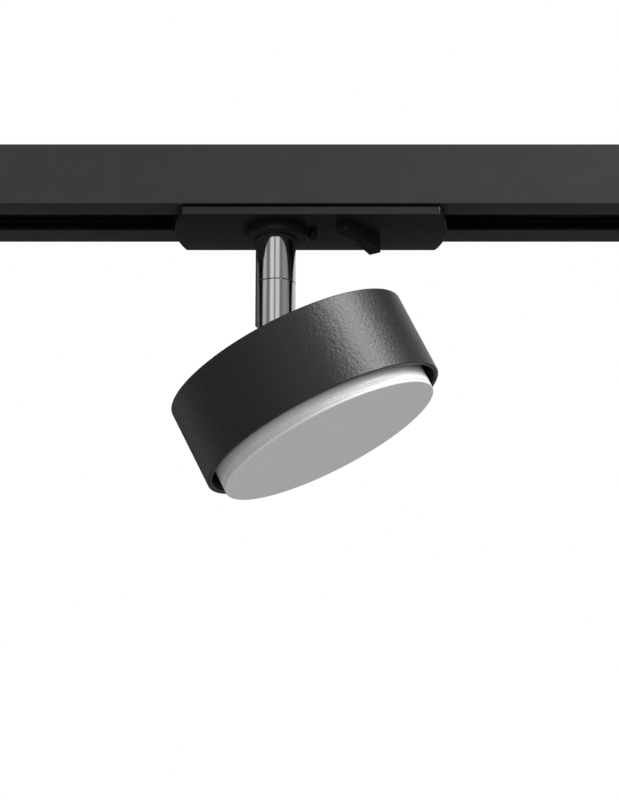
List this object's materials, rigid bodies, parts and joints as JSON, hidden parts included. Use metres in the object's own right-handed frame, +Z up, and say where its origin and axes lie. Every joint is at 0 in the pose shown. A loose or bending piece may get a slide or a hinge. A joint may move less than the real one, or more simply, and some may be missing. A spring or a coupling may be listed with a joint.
{
  "type": "track lighting fixture",
  "caption": "Track spotlight with a drum head and flat twist-lock lamp on a swivelling chrome stem, hung by a quarter-turn adapter in a length of single-circuit track.",
  "frame": {"origin": "middle of the track section's ceiling face", "axes": "+X along the track, towards its end cap; +Y across the track; +Z up, out of the ceiling face"},
  "size_m": [0.3454, 0.0832, 0.1136],
  "materials": {
    "black_aluminium": "satin black powder coat on extruded aluminium",
    "black_powder_coat": "fine textured black powder coat",
    "chrome": "polished chrome plate",
    "gloss_black_plastic": "smooth semi-gloss black moulding",
    "black_plastic": "satin black moulding",
    "black_steel": "blackened steel",
    "zinc_steel": "zinc-plated steel",
    "bare_aluminium": "bare aluminium",
    "brass": "spring brass",
    "copper": "bare copper strip",
    "pale_plastic": "natural insulating plastic",
    "white_plastic": "white moulding",
    "opal_diffuser": "unlit opal diffuser, satin",
    "black_rubber": "matt black rubber",
    "white_board": "white solder mask",
    "green_board": "green solder mask",
    "phosphor": "yellow phosphor under clear resin",
    "component_black": "moulded electronic parts",
    "lead_brown": "insulated lead",
    "lead_earth": "earth lead insulation"
  },
  "bodies": {
    "track": {"track_profile": "black_aluminium", "insulator_near": "black_plastic", "insulator_far": "black_plastic", "conductor_live": "copper", "conductor_neutral": "copper", "end_cap": "black_plastic", "feed_housing": "black_plastic", "feed_cover": "black_plastic", "feed_cover_screws": "zinc_steel", "feed_terminal": "pale_plastic", "feed_blades": "brass", "feed_earth_strip": "brass", "entry_grommet": "black_rubber", "cord_clamp": "black_plastic", "clamp_screws": "zinc_steel"},
    "adapter": {"adapter_plate": "gloss_black_plastic", "adapter_body": "black_plastic", "adapter_lid": "black_plastic", "lid_screws": "zinc_steel", "plate_screw": "black_steel", "wipers": "brass", "earth_spring": "zinc_steel", "earth_tag": "zinc_steel", "earth_lead": "lead_earth", "adapter_leads": "lead_brown", "stem_nut": "zinc_steel", "stem_spindle": "zinc_steel", "stem_collar": "gloss_black_plastic", "upper_stem": "chrome", "stop_pin": "zinc_steel"},
    "lock": {"lock_lever": "gloss_black_plastic", "locking_wings": "zinc_steel", "contact_carrier": "black_plastic", "contact_blades": "brass", "lock_screw": "zinc_steel"},
    "swivel": {"lower_stem": "chrome", "swivel_screw": "black_steel", "tilt_screw": "black_steel", "tilt_nut": "zinc_steel", "tilt_washers": "pale_plastic", "stem_leads": "lead_brown"},
    "head": {"head_ring": "black_powder_coat", "head_cover": "black_powder_coat", "cover_screws": "black_steel", "head_bracket": "zinc_steel", "bracket_screws": "black_steel", "lampholder": "white_plastic", "holder_contacts": "brass", "holder_screws": "zinc_steel", "head_leads": "lead_brown"},
    "lamp": {"lamp_housing": "white_plastic", "lamp_diffuser": "opal_diffuser", "lamp_pins": "zinc_steel", "heat_spreader": "bare_aluminium", "light_board": "white_board", "light_chips": "phosphor", "driver_board": "green_board", "driver_parts": "component_black", "lamp_wires": "lead_brown"}
  },
  "joints": [
    {"name": "adapter_slide", "type": "slide", "parent": "track", "child": "adapter", "axis": [1, 0, 0], "range_m": [-0.08, 0.095]},
    {"name": "lock_turn", "type": "hinge", "parent": "adapter", "child": "lock", "pos_m": [0.01565, 0, -0.0222], "axis": [0, 0, 1], "range_deg": [-90, 0]},
    {"name": "pan", "type": "hinge", "parent": "adapter", "child": "swivel", "pos_m": [-0.01165, 0, -0.043], "axis": [0, 0, 1], "range_deg": [-170, 170]},
    {"name": "tilt", "type": "hinge", "parent": "swivel", "child": "head", "pos_m": [-0.01165, 0, -0.06085], "axis": [0, -1, 0], "range_deg": [-86.3, 33.7]},
    {"name": "lamp_turn", "type": "hinge", "parent": "head", "child": "lamp", "pos_m": [-0.01165, 0, -0.06085], "axis": [0.4431, 0, -0.8965], "range_deg": [0, 20]}
  ]
}
